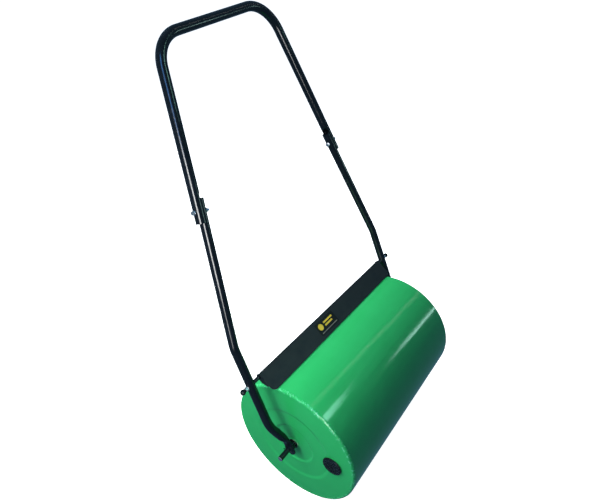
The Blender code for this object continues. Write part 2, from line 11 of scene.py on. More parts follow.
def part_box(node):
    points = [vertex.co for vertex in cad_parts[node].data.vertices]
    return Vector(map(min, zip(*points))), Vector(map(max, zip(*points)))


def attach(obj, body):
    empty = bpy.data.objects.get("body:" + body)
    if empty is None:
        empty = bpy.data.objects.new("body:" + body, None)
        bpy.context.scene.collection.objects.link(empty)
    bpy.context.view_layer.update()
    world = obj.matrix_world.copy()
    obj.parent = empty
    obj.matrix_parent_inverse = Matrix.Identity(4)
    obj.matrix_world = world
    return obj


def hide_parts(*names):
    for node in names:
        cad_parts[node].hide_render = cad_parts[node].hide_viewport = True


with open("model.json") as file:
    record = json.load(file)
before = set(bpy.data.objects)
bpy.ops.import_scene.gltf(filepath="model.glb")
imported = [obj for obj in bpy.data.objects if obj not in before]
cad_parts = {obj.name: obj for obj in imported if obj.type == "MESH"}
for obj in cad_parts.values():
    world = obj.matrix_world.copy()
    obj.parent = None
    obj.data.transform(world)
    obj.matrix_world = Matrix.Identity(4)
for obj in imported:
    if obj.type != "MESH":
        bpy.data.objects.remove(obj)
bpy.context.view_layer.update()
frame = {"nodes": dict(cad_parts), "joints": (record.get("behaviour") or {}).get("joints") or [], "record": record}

# ------------------------------------------------------- places, from the frame
JOINTS = {joint["name"]: joint for joint in frame["joints"]}
MOUNTS = {mount["name"]: mount for mount in frame["record"]["mounts"]}
AXLE = Vector(JOINTS["drum_spin"]["pos_m"])
GRIP = Vector(MOUNTS["hand_grip"]["pos_m"])
PIVOT = Vector(JOINTS["scraper_tilt"]["pos_m"])
LEAN = atan2(GRIP.y - AXLE.y, GRIP.z - AXLE.z)
HANDLE = Matrix.Translation(AXLE) @ Matrix.Rotation(-LEAN, 4, "X")     # x, across, up the handle
DRUM = Matrix.Translation(AXLE)
PIVOT_UP = (PIVOT - AXLE).length

DRUM_RADIUS = AXLE.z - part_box("drum_shell")[0].z
SHELL_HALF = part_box("drum_shell")[1].x
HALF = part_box("end_cap_right")[1].x
PLUG_LOW, PLUG_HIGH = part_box("filler_plug")
PLUG = Matrix.Translation((0.0, (PLUG_LOW.y + PLUG_HIGH.y) / 2, (PLUG_LOW.z + PLUG_HIGH.z) / 2))

# sizes shared with the CAD
GAP = 0.0003
SHEET = 0.002
CORNER = 0.006
CAP_SKIRT = 0.018
DISH_RADIUS, DISH_DEPTH = 0.098, 0.002
HUB_RADIUS, HUB_DEPTH = 0.054, 0.005
STEP_RUN = 0.005
SLEEVE_RADIUS, SLEEVE_PROUD = 0.010, 0.003
AXLE_RADIUS, BORE_RADIUS = 0.006, 0.0064
FLANGE_RADIUS, FLANGE_THICK = 0.0120, 0.0016
SPIGOT_RADIUS, SPIGOT_LENGTH = 0.0076, 0.014
BOSS_RADIUS, BOSS_BORE, BOSS_LENGTH, BOSS_PROUD = 0.0215, 0.0151, 0.016, 0.0005
SEAL_THICK = 0.001
PLUG_RADIUS, PLUG_HEAD, PLUG_DISH = 0.0230, 0.0026, 0.0152
THREAD_RADIUS, THREAD_LENGTH, THREAD_DEPTH = 0.0147, 0.014, 0.0007
TUBE_WALL = 0.0015
LOWER_RADIUS, UPPER_RADIUS = 0.0098, 0.0107
EYE_WIDE, EYE_THICK, EYE_X, EYE_END = 0.0130, 0.0021, 0.262, -0.019
FLAT_BELOW, ROUND_ABOVE, BORE_FROM = 0.014, 0.038, 0.045
STRADDLE_X, JOG_TOP, JOG_BOTTOM, BEND_UP = 0.2880, 0.083, 0.0205, 0.2841
LOWER_BENDS = (0.060, 0.090, 0.070)
LOWER_TOP, LOWER_TOP_X = 0.5869, 0.2224
UPPER_END, UPPER_END_X = 0.5404, 0.2395
GRIP_X, GRIP_UP, GRIP_SKEW, GRIP_BEND = 0.1664, 0.9000, 0.017, 0.075
CRIMP_CLEARANCE, CRIMP_TOP, CRIMP_RUN = 0.0004, 0.6088, 0.020
JOINT_UP = 0.5632
BOLT_RADIUS, BOLT_HOLE = 0.0025, 0.00295
HEX, HEAD_HEIGHT, NUT_HEIGHT, LOCK_NUT_HEIGHT = 0.0040, 0.0035, 0.0040, 0.0050
WASHER_RADIUS, WASHER_THICK = 0.0052, 0.0010
AXLE_WASHER_RADIUS, AXLE_WASHER_THICK = 0.0105, 0.0015
AXLE_SPACER_RADIUS, SCRAPER_SPACER_RADIUS = 0.0100, 0.0043
PIN_CLEAR, PIN_HOLE = 0.0030, 0.0022
BOLT_PAST_NUT, BOLT_IN_COVER = 0.0085, 0.0070
BALL_RADIUS, BALL_END, BALL_NECK = 0.0062, 0.0130, 0.0041
BLADE_HALF, BLADE_WIDTH, BLADE_TILT = 0.2608, 0.0500, radians(31.0)
BLADE_TIP_UP, BLADE_TIP_OUT = 0.1593, 0.0296
BLADE_CORNERS = (0.013, 0.004)
EAR_RADIUS = 0.007
LABEL_SIZE, LABEL_CENTRE = (0.072, 0.033), (-0.031, 0.0245)

DRUM_SIDES = 192
TUBE_SIDES = 40

# hexagons, threads, pressed eyes
CROWN, CROWN_SLOPE = 0.97, 1.73
GROOVE, PITCH, THREAD_TIP = 0.00028, 0.0008, 0.86
EYE_SQUARENESS, EYE_THINNING = 0.78, 0.25

# waves and ripples in the surfaces
SHEET_WAVE = 0.00022
RIM_RIPPLE_OUT, RIM_RIPPLE_UP = 0.00012, 0.00010
WELD_LEG, WELD_RIPPLE, WELD_BEATS = 0.0026, 0.00022, 26
KNURLS, KNURL_DEPTH = 30, 0.00035


# -------------------------------------------------------------------- materials
class Paint:
    """A Principled material and short-hands for the nodes that feed it."""

    def __init__(self, name, colour, roughness, metallic=0.0, coat=0.0, coat_roughness=0.03, specular=0.5):
        self.material = bpy.data.materials.new(name)
        self.material.use_nodes = True
        self.tree = self.material.node_tree
        self.shader = self.tree.nodes["Principled BSDF"]
        self.colour = colour
        self.set("Base Color", (*colour, 1.0))
        self.set("Roughness", roughness)
        self.set("Metallic", metallic)
        self.set("Coat Weight", coat)
        self.set("Coat Roughness", coat_roughness)
        self.set("Specular IOR Level", specular)
        self.place = self.tree.nodes.new("ShaderNodeTexCoord").outputs["Object"]
        self.height = None

    def set(self, socket, value):
        self.shader.inputs[socket].default_value = value

    def link(self, source, target):
        self.tree.links.new(source, target)

    def math(self, operation, *values, clamp=False):
        node = self.tree.nodes.new("ShaderNodeMath")
        node.operation = operation
        node.use_clamp = clamp
        for socket, value in zip(node.inputs, values):
            if isinstance(value, (int, float)):
                socket.default_value = value
            else:
                self.link(value, socket)
        return node.outputs[0]

    def ramp(self, value, low, high, to_low=0.0, to_high=1.0):
        node = self.tree.nodes.new("ShaderNodeMapRange")
        node.interpolation_type = "SMOOTHSTEP"
        for socket, number in zip(("From Min", "From Max", "To Min", "To Max"), (low, high, to_low, to_high)):
            node.inputs[socket].default_value = number
        self.link(value, node.inputs["Value"])
        return node.outputs["Result"]

    def noise(self, scale, stretch=(1.0, 1.0, 1.0), detail=2.0, rough=0.5, distort=0.0):
        mapping = self.tree.nodes.new("ShaderNodeMapping")
        mapping.inputs["Scale"].default_value = stretch
        self.link(self.place, mapping.inputs["Vector"])
        node = self.tree.nodes.new("ShaderNodeTexNoise")
        node.inputs["Scale"].default_value = scale
        node.inputs["Detail"].default_value = detail
        node.inputs["Roughness"].default_value = rough
        node.inputs["Distortion"].default_value = distort
        self.link(mapping.outputs["Vector"], node.inputs["Vector"])
        return node.outputs["Fac"]

    def axes(self):
        node = self.tree.nodes.new("ShaderNodeSeparateXYZ")
        self.link(self.place, node.inputs[0])
        return node.outputs

    def tint(self, factor, colour):
        """Blend the base colour towards another where factor is 1."""
        node = self.tree.nodes.new("ShaderNodeMix")
        node.data_type = "RGBA"
        source = self.shader.inputs["Base Color"]
        if source.is_linked:
            self.link(source.links[0].from_socket, node.inputs["A"])
        else:
            node.inputs["A"].default_value = source.default_value
        node.inputs["B"].default_value = (*colour, 1.0)
        if isinstance(factor, (int, float)):
            node.inputs["Factor"].default_value = factor
        else:
            self.link(factor, node.inputs["Factor"])
        self.link(node.outputs["Result"], source)

    def roughen(self, factor, low, high):
        self.link(self.ramp(factor, 0.3, 0.7, low, high), self.shader.inputs["Roughness"])

    def bump(self, height, distance, strength=1.0):
        node = self.tree.nodes.new("ShaderNodeBump")
        node.inputs["Distance"].default_value = distance
        node.inputs["Strength"].default_value = strength
        self.link(height, node.inputs["Height"])
        if self.height is not None:
            self.link(self.height, node.inputs["Normal"])
        self.height = node.outputs["Normal"]
        self.link(self.height, self.shader.inputs["Normal"])
        if self.shader.inputs["Coat Weight"].default_value > 0:
            self.link(self.height, self.shader.inputs["Coat Normal"])


GREEN = (0.022, 0.405, 0.106)
GREEN_LIGHT = (0.029, 0.445, 0.126)
GREEN_DEEP = (0.018, 0.350, 0.088)
# painted highlight colour for the cap rim, a lighter green standing in for light caught by the rounded rim
GREEN_RIM_HIGHLIGHT = (0.12, 0.66, 0.34)
BLACK = (0.0030, 0.0045, 0.0070)
BLACK_CLOUD = (0.006, 0.009, 0.014)
DUST = (0.09, 0.10, 0.11)
BARE_STEEL = (0.55, 0.56, 0.58)
# radii of the cap rim band that gets the painted highlight
RIM_HIGHLIGHT_BAND = (0.1515, 0.1560)
BARE_FROM = (0.2985, 0.2995)


def green_enamel(name, streaks):
    """Glossy green over slightly uneven sheet; streaks adds waves along the axle."""
    paint = Paint(name, GREEN, 0.14)
    cloudy = paint.noise(7.0, detail=3.0)
    paint.tint(paint.ramp(cloudy, 0.35, 0.75, 0.0, 0.5), GREEN_LIGHT)
    paint.tint(paint.ramp(paint.noise(23.0, detail=5.0, rough=0.65), 0.52, 0.80, 0.0, 0.35), GREEN_DEEP)
    paint.roughen(paint.noise(40.0, detail=6.0, rough=0.7), 0.08, 0.15)
    if streaks:
        paint.bump(paint.noise(1.0, stretch=(0.9, 26.0, 26.0), detail=2.0), 0.0008)
    paint.bump(paint.noise(9.0, detail=1.0), 0.0010)
    paint.bump(paint.noise(700.0, detail=1.0), 0.00005)
    return paint


def tread_enamel():
    """Drum paint: rolled-sheet waves along the axle and light rolling scuffs."""
    paint = green_enamel("tread_green_enamel", True)
    scuff = paint.noise(1.0, stretch=(420.0, 9.0, 9.0), detail=4.0, rough=0.6)
    paint.tint(paint.ramp(scuff, 0.66, 0.80, 0.0, 0.22), GREEN_LIGHT)
    return paint.material


def cap_enamel():
    """End cap paint, with weld ripple bumps and a painted highlight round the rim: lighter green on the ripple's
    high spots.
    """
    paint = green_enamel("cap_green_enamel", False)
    _, y, z = paint.axes()
    away = paint.math("SUBTRACT", z, AXLE.z)
    squares = [paint.math("MULTIPLY", value, value) for value in (y, away)]
    radius = paint.math("SQRT", paint.math("ADD", *squares))
    rim = paint.ramp(radius, *RIM_HIGHLIGHT_BAND)
    ripple = paint.noise(230.0, detail=2.0, rough=0.55)
    # painted highlight: lighter green on the rim ripple, standing in for light on the rounded rim
    paint.tint(paint.math("MULTIPLY", rim, paint.ramp(ripple, 0.48, 0.66, 0.0, 0.75)), GREEN_RIM_HIGHLIGHT)
    paint.bump(paint.math("MULTIPLY", rim, ripple), 0.0007)
    return paint.material


def black_enamel(name, base=BLACK, dull=0.0):
    """Black paint with a little dust on it; dull takes the shine off."""
    paint = Paint(name, base, 0.16 + dull, specular=0.5 - dull)
    paint.tint(paint.ramp(paint.noise(30.0, detail=4.0), 0.45, 0.75, 0.0, 0.6), BLACK_CLOUD)
    paint.roughen(paint.noise(60.0, detail=5.0, rough=0.7), 0.10 + dull, 0.20 + dull)
    dust = paint.noise(900.0, detail=2.0, rough=0.6)
    paint.tint(paint.ramp(dust, 0.74, 0.84, 0.0, 0.35), DUST)
    paint.bump(paint.noise(14.0, detail=1.0), 0.0004)
    paint.bump(paint.noise(800.0, detail=1.0), 0.00005)
    return paint


def axle_enamel():
    """Black paint with bare steel rubbed bright at both tips."""
    paint = black_enamel("axle_black_enamel")
    x, _, _ = paint.axes()
    reach = paint.math("ABSOLUTE", x)
    patchy = paint.math("ADD", reach, paint.math("MULTIPLY", paint.noise(500.0, detail=3.0), 0.0030))
    bare = paint.ramp(patchy, *BARE_FROM)
    paint.tint(bare, BARE_STEEL)
    paint.link(bare, paint.shader.inputs["Metallic"])
    return paint.material


def zinc_plate():
    paint = Paint("zinc_plate", (0.62, 0.64, 0.67), 0.28, metallic=1.0)
    paint.tint(paint.ramp(paint.noise(350.0, detail=4.0), 0.45, 0.75, 0.0, 0.6), (0.42, 0.44, 0.46))
    paint.tint(paint.ramp(paint.noise(60.0, detail=2.0), 0.55, 0.80, 0.0, 0.3), (0.66, 0.62, 0.50))
    paint.roughen(paint.noise(900.0, detail=3.0), 0.20, 0.42)
    paint.bump(paint.noise(1500.0, detail=2.0), 0.00004)
    return paint.material


def moulded_plastic():
    paint = Paint("moulded_black_plastic", (0.004, 0.005, 0.006), 0.26, specular=0.35)
    paint.tint(paint.ramp(paint.noise(120.0, detail=3.0), 0.50, 0.80, 0.0, 0.5), (0.009, 0.010, 0.012))
    paint.roughen(paint.noise(400.0, detail=4.0), 0.18, 0.32)
    paint.bump(paint.noise(1800.0, detail=2.0), 0.00002)
    return paint.material


def rubber():
    paint = Paint("seal_rubber", (0.018, 0.018, 0.018), 0.70)
    paint.tint(paint.ramp(paint.noise(500.0, detail=3.0), 0.50, 0.80, 0.0, 0.5), (0.045, 0.044, 0.042))
    paint.roughen(paint.noise(300.0, detail=4.0), 0.60, 0.85)
    paint.bump(paint.noise(1200.0, detail=3.0), 0.00008)
    return paint.material


def print_ink(name, colour, roughness=0.34):
    """Printed film: a dot screen, tiny scratches and a soft sheen."""
    paint = Paint(name, colour, roughness, specular=0.2)
    lighter = tuple(min(1.0, c * 1.35 + 0.004) for c in colour)
    paint.tint(paint.ramp(paint.noise(1600.0, detail=2.0), 0.50, 0.75, 0.0, 0.5), lighter)
    paint.roughen(paint.noise(200.0, detail=4.0), roughness - 0.06, roughness + 0.10)
    paint.bump(paint.noise(260.0, detail=3.0), 0.00003)
    return paint.material


# ------------------------------------------------------------------ mesh makers
def make(name, bm, material, body, replaces=(), matrix=None, crease=35.0):
    """Finish a bmesh as a piece that rides on a body."""
    bmesh.ops.recalc_face_normals(bm, faces=bm.faces[:])
    if matrix is not None:
        bm.transform(matrix)
    mesh = bpy.data.meshes.new(name)
    bm.to_mesh(mesh)
    bm.free()
    mesh.shade_smooth()
    mesh.set_sharp_from_angle(angle=radians(crease))
    for one in material if isinstance(material, (list, tuple)) else [material]:
        mesh.materials.append(one)
    thing = bpy.data.objects.new(name, mesh)
    bpy.context.collection.objects.link(thing)
    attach(thing, body)
    if replaces:
        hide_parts(*replaces)
    return thing


def boolean(thing, bm, operation, crease=35.0):
    """Cut or join a bmesh for good, in world coordinates."""
    bmesh.ops.recalc_face_normals(bm, faces=bm.faces[:])
    mesh = bpy.data.meshes.new("tool")
    bm.to_mesh(mesh)
    bm.free()
    tool = bpy.data.objects.new("tool", mesh)
    bpy.context.collection.objects.link(tool)
    modifier = thing.modifiers.new("cut", "BOOLEAN")
    modifier.operation = operation
    modifier.solver = "EXACT"
    modifier.object = tool
    bpy.context.view_layer.update()
    result = bpy.data.meshes.new_from_object(thing.evaluated_get(bpy.context.evaluated_depsgraph_get()))
    thing.modifiers.remove(modifier)
    thing.data = result
    result.set_sharp_from_angle(angle=radians(crease))
    bpy.data.objects.remove(tool, do_unlink=True)


def bridge(bm, low, high):
    count = len(low)
    for i in range(count):
        j = (i + 1) % count
        bm.faces.new((low[i], low[j], high[j], high[i]))


def turned(profile, sides, wobble=None, closed=True):
    """Spin a closed profile of (x, radius) points about X; wobble moves a point in or out."""
    bm = bmesh.new()
    rings = []
    for x, r in profile:
        if r < 1e-7:
            rings.append([bm.verts.new((x, 0.0, 0.0))])
            continue
        circle = []
        for i in range(sides):
            angle = 2 * pi * i / sides
            dx, dr = wobble(x, r, angle) if wobble else (0.0, 0.0)
            circle.append(bm.verts.new((x + dx, (r + dr) * sin(angle), (r + dr) * cos(angle))))
        rings.append(circle)
    for low, high in zip(rings, rings[1:] + (rings[:1] if closed else [])):
        if len(low) == 1 and len(high) == 1:
            continue
        if len(low) == 1 or len(high) == 1:
            pole, circle = (low[0], high) if len(low) == 1 else (high[0], low)
            for i in range(sides):
                bm.faces.new((pole, circle[i], circle[(i + 1) % sides]))
        else:
            bridge(bm, low, high)
    return bm


def rod(x0, x1, radius, sides=32, chamfer=0.0):
    if not chamfer:
        return turned([(x0, 0.0), (x0, radius), (x1, radius), (x1, 0.0)], sides)
    return turned([(x0, 0.0), (x0, radius - chamfer), (x0 + chamfer, radius),
                   (x1 - chamfer, radius), (x1, radius - chamfer), (x1, 0.0)], sides)


def ring(x0, x1, outer, inner, sides=40, chamfer=0.0003):
    """A washer or sleeve with broken edges."""
    c = chamfer
    return turned([(x0, inner + c), (x0, outer - c), (x0 + c, outer), (x1 - c, outer),
                   (x1, outer - c), (x1, inner + c), (x1 - c, inner), (x0 + c, inner)], sides)


def arc(centre, radius, start, end, steps):
    return [(centre[0] + radius * cos(radians(start + (end - start) * i / steps)),
             centre[1] + radius * sin(radians(start + (end - start) * i / steps)))
            for i in range(steps + 1)]


def rounded(corners, radii, steps):
    """A polyline of 2D corners with each inner corner replaced by an arc."""
    points = [Vector(corners[0])]
    for before, corner, after, radius in zip(corners, corners[1:], corners[2:], radii):
        corner = Vector(corner)
        back = (Vector(before) - corner).normalized()
        ahead = (Vector(after) - corner).normalized()
        half = acos(max(-1.0, min(1.0, back.dot(ahead)))) / 2
        centre = corner + (back + ahead).normalized() * radius / sin(half)
        first = corner + back * radius / tan(half) - centre
        turn = pi - 2 * half
        if back.x * ahead.y - back.y * ahead.x > 0:
            turn = -turn
        for i in range(steps + 1):
            angle = turn * i / steps
            points.append(centre + Vector((first.x * cos(angle) - first.y * sin(angle),
                                           first.x * sin(angle) + first.y * cos(angle))))
    points.append(Vector(corners[-1]))
    return points


def filled(path, spacing):
    """The same polyline with no stretch longer than spacing."""
    points = [path[0]]
    for a, b in zip(path, path[1:]):
        count = max(1, int((b - a).length / spacing))
        points += [a.lerp(b, (i + 1) / count) for i in range(count)]
    return points


def swept(path, outer, bore, blind=0):
    """A tube along (x, up) points in the handle's plane, its bore open at the ends.

    The bore starts at path point number blind, and is closed there unless it is 0.
    """
    bm = bmesh.new()
    last = len(path) - 1

    def section(index, shape):
        here = path[index]
        tangent = (path[min(index + 1, last)] - path[max(index - 1, 0)]).normalized()
        side = Vector((tangent.y, -tangent.x))
        verts = []
        for i in range(TUBE_SIDES):
            sideways, across = shape(here, 2 * pi * (i + 0.5) / TUBE_SIDES)
            spot = here + side * sideways
            verts.append(bm.verts.new((spot.x, across, spot.y)))
        return verts

    skin = [section(i, outer) for i in range(last + 1)]
    inside = [section(i, bore) for i in range(blind, last + 1)]
    for rings in (skin, inside):
        for low, high in zip(rings, rings[1:]):
            bridge(bm, low, high)
    bridge(bm, skin[-1], inside[-1])
    if blind:
        bm.faces.new(skin[0])
        bm.faces.new(inside[0])
    else:
        bridge(bm, skin[0], inside[0])
    return bm


def hexagon(x0, x1, half_flats, hole=0.0, crowned=(True, True), sides=48):
    """A hexagon along X with its corners turned off at the crowned ends."""
    length = x1 - x0
    stations = [0.0, 0.0003, 0.0006, 0.0009, length - 0.0009, length - 0.0006, length - 0.0003, length]
    bm = bmesh.new()
    rings = []
    for at in stations:
        circle = []
        for i in range(sides):
            angle = 2 * pi * i / sides
            flat = (angle + pi / 6) % (pi / 3) - pi / 6
            reach = half_flats / cos(flat)
            for crown, depth in zip(crowned, (at, length - at)):
                if crown:
                    reach = min(reach, half_flats * CROWN + depth * CROWN_SLOPE)
            circle.append(bm.verts.new((x0 + at, reach * sin(angle), reach * cos(angle))))
        rings.append(circle)
    for low, high in zip(rings, rings[1:]):
        bridge(bm, low, high)
    if hole:
        ends = []
        for x, wider in ((x0, 0.0004), (x0 + 0.0004, 0.0), (x1 - 0.0004, 0.0), (x1, 0.0004)):
            turns = [2 * pi * i / sides for i in range(sides)]
            ends.append([bm.verts.new((x, (hole + wider) * sin(angle), (hole + wider) * cos(angle)))
                         for angle in turns])
        for low, high in zip(ends, ends[1:]):
            bridge(bm, low, high)
        bridge(bm, rings[0], ends[0])
        bridge(bm, rings[-1], ends[-1])
    else:
        bm.faces.new(rings[0])
        bm.faces.new(rings[-1])
    return bm


def threaded(x0, x1, radius, plain, sides=24):
    """A bolt shank from x0 to x1, threaded except for a plain first stretch."""
    steps = max(6, int((x1 - x0) / PITCH * 5))
    bm = bmesh.new()
    rings = []
    for k in range(steps + 1):
        at = (x1 - x0) * k / steps
        circle = []
        for i in range(sides):
            angle = 2 * pi * i / sides
            depth = 0.0
            if at > plain:
                wave = (at / PITCH - angle / (2 * pi)) % 1.0
                depth = GROOVE * abs(2 * wave - 1) * min(1.0, (at - plain) / PITCH)
            end = min(1.0, (x1 - x0 - at) / 0.0006)
            reach = (radius - depth) * (THREAD_TIP + (1 - THREAD_TIP) * end)
            circle.append(bm.verts.new((x0 + at, reach * sin(angle), reach * cos(angle))))
        rings.append(circle)
    for low, high in zip(rings, rings[1:]):
        bridge(bm, low, high)
    bm.faces.new(rings[0])
    bm.faces.new(rings[-1])
    return bm


def plate(outline, thickness, across, at):
    """An outline of (a, b) points made solid from at; across gives the three axes."""
    axis_a, axis_b, axis_t = across
    bm = bmesh.new()
    low = [bm.verts.new(at + axis_a * a + axis_b * b) for a, b in outline]
    high = [bm.verts.new(v.co + axis_t * thickness) for v in low]
    bm.faces.new(low)
    bm.faces.new(high)
    bridge(bm, low, high)
    return bm


def both(low, high, side):
    """A span along X, mirrored to the left for side -1."""
    return (low, high) if side > 0 else (-high, -low)


SIDES = ((-1, "left"), (1, "right"))


# ------------------------------------------------------------------------- drum
def shell_wobble(x, r, angle):
    """Rolled sheet is never quite round: broad, shallow waves."""
    low = noise.noise(Vector((x * 3.0, sin(angle) * 1.4, cos(angle) * 1.4)))
    return 0.0, SHEET_WAVE * low


def build_tread(material):
    """The rolled drum shell."""
    stations = [SHELL_HALF * sin(pi / 2 * i / 24) for i in range(-24, 25)]
    outer = [(x, DRUM_RADIUS) for x in stations]
    inner = [(x, DRUM_RADIUS - SHEET) for x in (SHELL_HALF, 0.0, -SHELL_HALF)]
    tread = turned(outer + inner, DRUM_SIDES, shell_wobble)
    make("drum_tread", tread, material, "drum", ["drum_shell"], DRUM)


def smooth(t):
    t = max(0.0, min(1.0, t))
    return t * t * (3 - 2 * t)


def cap_depth(r):
    """How far the pressed cap lies inside its end plane at a radius."""
    dish = DISH_DEPTH * smooth((DISH_RADIUS + 0.002 - r) / (STEP_RUN + 0.004))
    hub = (HUB_DEPTH - DISH_DEPTH) * smooth((HUB_RADIUS - r) / STEP_RUN)
    return dish + hub


def build_cap(side, word, material):
    """One pressed end cap, with the filler hole in the left one."""
    hole = SLEEVE_RADIUS + 0.00035
    flat_edge = DRUM_RADIUS - CORNER
    radii = [hole + (flat_edge - hole) * i / 72 for i in range(73)]
    front = [(HALF - cap_depth(r), r) for r in radii]
    corner = arc((HALF - CORNER, DRUM_RADIUS - CORNER), CORNER, 0, 90, 10)[1:]
    skirt = DRUM_RADIUS - SHEET - 0.0004
    back = [(HALF - CORNER, skirt), (HALF - CAP_SKIRT, skirt), (HALF - CAP_SKIRT, skirt - SHEET)]
    back += arc((HALF - CORNER - 0.001, skirt - SHEET - 0.003), 0.003, 90, 0, 4)
    back += [(x - SHEET, r) for x, r in reversed(front[::6])]
    profile = [(side * x, r) for x, r in front + corner + back]

    def ripple(x, r, angle):
        edge = smooth((r - 0.1535) / 0.003) * smooth((abs(x) - HALF + CORNER + 0.0008) / 0.002)
        if edge == 0.0:
            return 0.0, 0.0
        beat = noise.noise(Vector((sin(angle) * 34, cos(angle) * 34, side * 5.0 + x * 60)))
        return side * RIM_RIPPLE_OUT * beat * edge, RIM_RIPPLE_UP * beat * edge

    cap = turned(profile, DRUM_SIDES, ripple)
    cap = make("cap_face_" + word, cap, material, "drum", ["end_cap_" + word], DRUM)
    if side < 0:
        cutter = rod(-HALF - 0.01, -HALF + 0.03, BOSS_RADIUS + 0.0004, 64)
        cutter.transform(PLUG)
        boolean(cap, cutter, "DIFFERENCE")


def build_hub(plastic, green):
    """The bush that turns on the axle at each end, and the weld round the sleeve."""
    sleeve_end = HALF - HUB_DEPTH + SLEEVE_PROUD
    weld_radius = SLEEVE_RADIUS + 0.0002
    for side, word in SIDES:
        face = sleeve_end + GAP
        end = face + FLANGE_THICK
        tail = face - SPIGOT_LENGTH
        profile = [(tail, BORE_RADIUS), (tail, SPIGOT_RADIUS - 0.0003), (tail + 0.0003, SPIGOT_RADIUS),
                   (face, SPIGOT_RADIUS), (face, FLANGE_RADIUS - 0.0002), (face + 0.0003, FLANGE_RADIUS),
                   (end - 0.0005, FLANGE_RADIUS), (end, FLANGE_RADIUS - 0.0005),
                   (end, BORE_RADIUS + 0.0003), (end - 0.0003, BORE_RADIUS)]
        bush = turned([(side * x, r) for x, r in profile], 48)
        make("hub_collar_" + word, bush, plastic, "drum", ["hub_bush_" + word], DRUM)
        root = side * (HALF - HUB_DEPTH + 0.0001)
        bead = [(root, weld_radius)]
        bead += [(root + side * WELD_LEG * sin(radians(a)), weld_radius + WELD_LEG * cos(radians(a)))
                 for a in (0, 30, 60, 90)]

        def ripple(x, r, angle):
            beat = WELD_RIPPLE * sin(angle * WELD_BEATS)
            along = side * beat if r < SLEEVE_RADIUS + WELD_LEG else 0.0
            return along, (beat if r > SLEEVE_RADIUS + 0.001 else 0.0)

        weld = turned(bead, 104, ripple)
        make("hub_weld_" + word, weld, green, "drum", (), DRUM)


def build_filler(plastic, rubber_black, green):
    """The threaded socket in the left cap, the plug with its knurled edge, and the gasket."""
    face = -HALF - BOSS_PROUD
    boss = ring(face, face + BOSS_LENGTH, BOSS_RADIUS, BOSS_BORE, 64, 0.0005)
    make("filler_socket", boss, green, "drum", ["filler_boss"], PLUG)
    seat = face - GAP
    seal = ring(seat - SEAL_THICK, seat, BOSS_RADIUS + 0.0005, THREAD_RADIUS + 0.0008, 64, 0.0003)
    make("plug_gasket", seal, rubber_black, "filler_plug", ["filler_seal"], PLUG)

    under = seat - SEAL_THICK - GAP
    top = under - PLUG_HEAD
    rim, dish = 0.0013, PLUG_DISH
    hub = [(0.0020, 0.0), (0.0020, 0.0066), (0.0016, 0.0072), (0.0013, 0.0080), (0.0015, 0.0092)]
    profile = [(top + sunk, r) for sunk, r in hub]
    profile += [(top + 0.0016, dish - 0.0022), (top + 0.0010, dish - 0.0008),
                (top + 0.0003, dish), (top, dish + 0.0005), (top, PLUG_RADIUS - rim)]
    profile += [(top + rim - rim * cos(radians(a)), PLUG_RADIUS - rim + rim * sin(radians(a)))
                for a in (18, 36, 54, 72, 90)]
    profile += [(under - 0.0003, PLUG_RADIUS), (under, PLUG_RADIUS - 0.0003), (under, THREAD_RADIUS)]
    turns = [under + 0.0015 + 0.00075 * i for i in range(16)]
    profile += [(x, THREAD_RADIUS - (THREAD_DEPTH if i % 4 in (1, 2) else 0.0)) for i, x in enumerate(turns)]
    cup = THREAD_RADIUS - 0.0030
    profile += [(under + THREAD_LENGTH, THREAD_RADIUS - 0.0006), (under + THREAD_LENGTH, cup),
                (under + 0.003, cup), (under + 0.003, 0.0)]

    def ribs(x, r, angle):
        knurl = 0.5 + 0.5 * cos(angle * KNURLS)
        near_edge = smooth((r - PLUG_RADIUS + 0.0008) / 0.0006)
        return 0.0, -KNURL_DEPTH * knurl ** 4 * near_edge

    plug = make("plug_head", turned(profile, 180, ribs), plastic, "filler_plug", ["filler_plug"],
                PLUG)
    key_socket = hexagon(top - 0.001, top + 0.0031, 0.0048, 0.0, (False, False))
    key_socket.transform(PLUG)
    boolean(plug, key_socket, "DIFFERENCE", 30.0)


# ----------------------------------------------------------------------- handle
def lower_path(side):
    """The middle line of a lower tube, from its eye to its crimped top."""
    corners = [(EYE_X, EYE_END), (EYE_X, JOG_BOTTOM), (STRADDLE_X, JOG_TOP),
               (STRADDLE_X, BEND_UP), (LOWER_TOP_X, LOWER_TOP)]
    points = rounded(corners, LOWER_BENDS, 10)
    eye = [Vector((EYE_X, EYE_END + 0.0130 * (1 - cos(radians(a))))) for a in range(0, 100, 10)]
    eye += [Vector((EYE_X, up)) for up in (-0.003, 0.001, 0.005)]
    points = filled(eye + points[1:], 0.008)
    return [Vector((side * p.x, p.y)) for p in points]


def lower_section(here, angle):
    """A round tube that is pressed flat towards the eye."""
    flat = smooth((ROUND_ABOVE - here.y) / (ROUND_ABOVE - FLAT_BELOW))
    centre = EYE_END + EYE_WIDE
    width = EYE_WIDE
    if here.y < centre:
        width = sqrt(max(EYE_WIDE ** 2 - (here.y - centre) ** 2, 0.0009 ** 2))
    c, s = cos(angle), sin(angle)
    square = 1.0 - EYE_SQUARENESS * flat
    c = abs(c) ** square * (1 if c > 0 else -1)
    thick = LOWER_RADIUS * (1 - flat) + EYE_THICK * flat
    wide = LOWER_RADIUS * (1 - flat) + width * flat
    if flat > 0:
        thick *= 1 - EYE_THINNING * flat * abs(s) ** 3
    return thick * c, wide * s


def lower_bore(here, angle):
    radius = LOWER_RADIUS - TUBE_WALL
    return radius * cos(angle), radius * sin(angle)


def leg_x(up, a, b):
    return a[0] + (b[0] - a[0]) * (up - a[1]) / (b[1] - a[1])


def lower_leg_x(up):
    return leg_x(up, (STRADDLE_X, BEND_UP), (LOWER_TOP_X, LOWER_TOP))


def upper_leg_x(up):
    return leg_x(up, (UPPER_END_X, UPPER_END), (GRIP_X, GRIP_UP))


